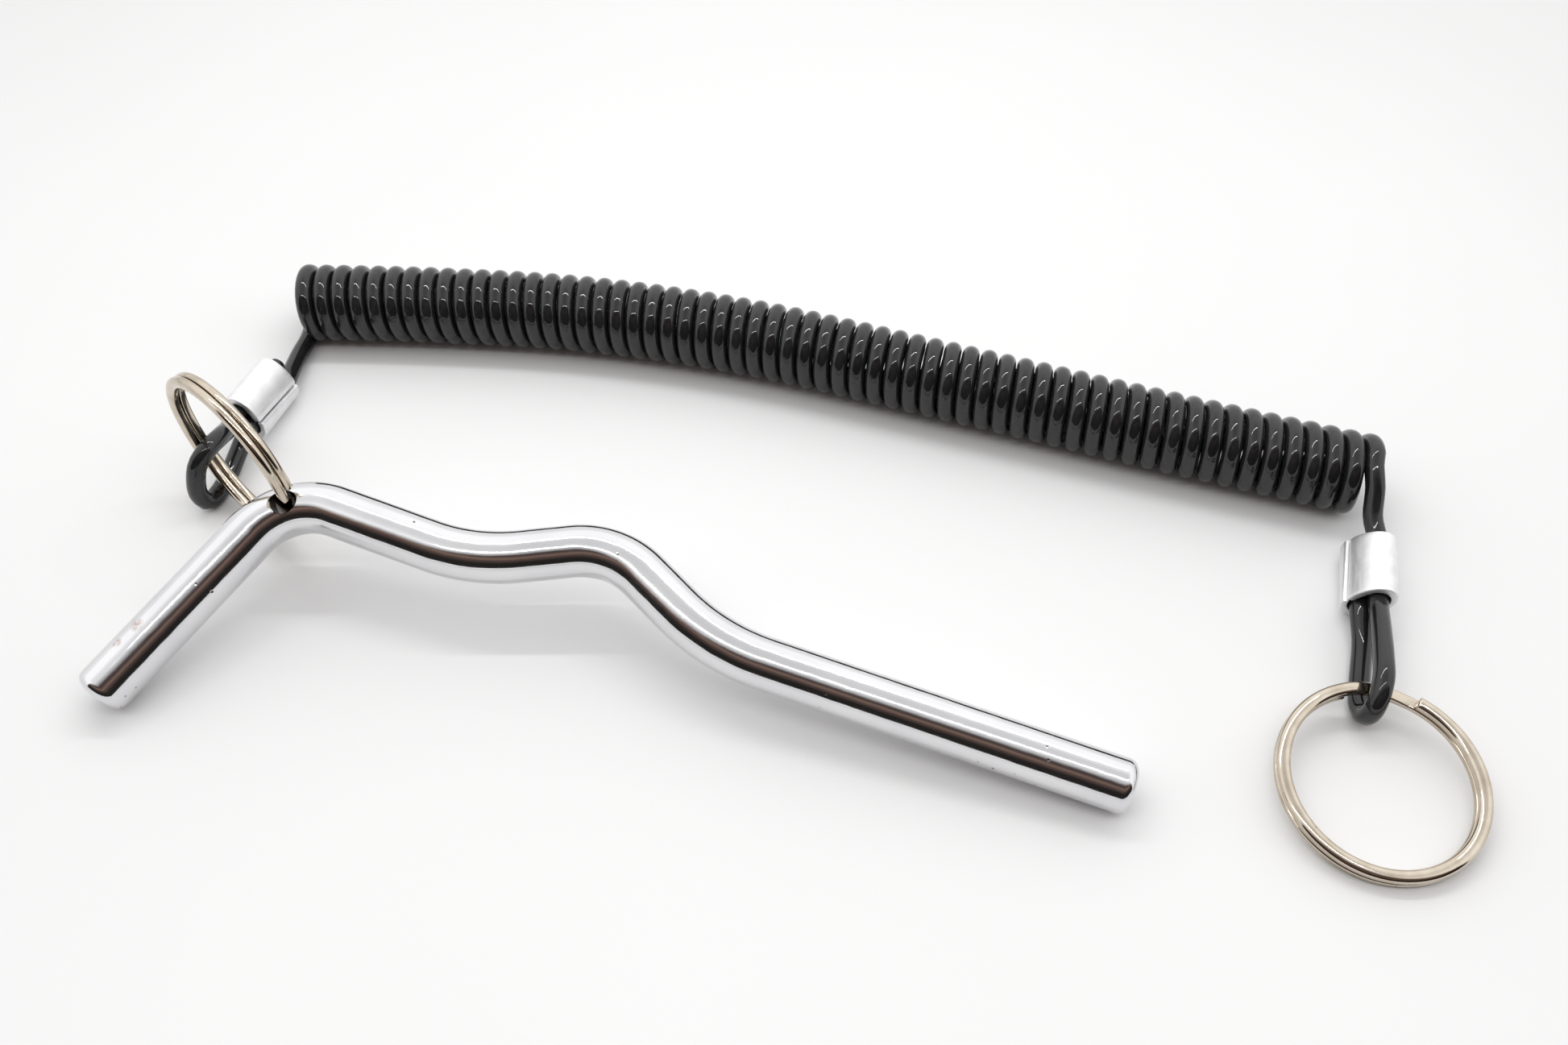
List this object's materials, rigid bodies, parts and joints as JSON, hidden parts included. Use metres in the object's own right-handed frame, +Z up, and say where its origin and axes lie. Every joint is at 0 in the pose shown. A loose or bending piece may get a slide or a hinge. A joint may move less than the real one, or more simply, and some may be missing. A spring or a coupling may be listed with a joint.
{
  "type": "hitch pin lock",
  "caption": "Bent chrome pin with a split ring through its bend, tied by a crimped, coiled cable to a second split ring.",
  "frame": {"origin": "on the surface the object lies on, under the middle of the bounding box of the pin and its ring", "axes": "+X along the pin from its handle to the end of its shank, +Y from the pin towards the cable's coil, +Z up"},
  "size_m": [0.2392, 0.1374, 0.0367],
  "materials": {
    "chrome": "bright chrome plating on round steel rod, a few brown rust specks near the handle's end",
    "nickel": "bright nickel plating with a slightly warm tint",
    "aluminium": "soft satin aluminium sheet, pressed",
    "black_plastic": "glossy black plastic coat over a fine steel wire rope"
  },
  "bodies": {
    "pin": {"pin": "chrome"},
    "pin_ring": {"pin_ring": "nickel"},
    "tether_a": {"ferrule_a": "aluminium", "tether_end_a": "black_plastic", "tether_coil": "black_plastic"},
    "tether_b": {"ferrule_b": "aluminium", "tether_end_b": "black_plastic"},
    "anchor_ring": {"anchor_ring": "nickel"}
  },
  "joints": [
    {"name": "pin_ring_swing", "type": "hinge", "parent": "pin", "child": "pin_ring", "pos_m": [-0.0579, 0.0157, 0.01576], "axis": [-0.0302, -0.3025, 0.9527], "range_deg": [-30, 30]},
    {"name": "loop_swing", "type": "hinge", "parent": "pin_ring", "child": "tether_a", "pos_m": [-0.0797, 0.034, 0.0085], "axis": [0.4592, -0.4191, -0.7833], "range_deg": [-30, 30]},
    {"name": "coil_stretch", "type": "slide", "parent": "tether_a", "child": "tether_b", "axis": [0.975, -0.2222, 0], "range_m": [0, 0.5], "stiffness_N_per_m": 15, "deforming": ["tether_coil"]},
    {"name": "anchor_ring_tilt", "type": "hinge", "parent": "tether_b", "child": "anchor_ring", "pos_m": [0.1327, -0.016, 0.0058], "axis": [-0.9962, 0.0865, 0.0109], "range_deg": [0, 110]}
  ]
}
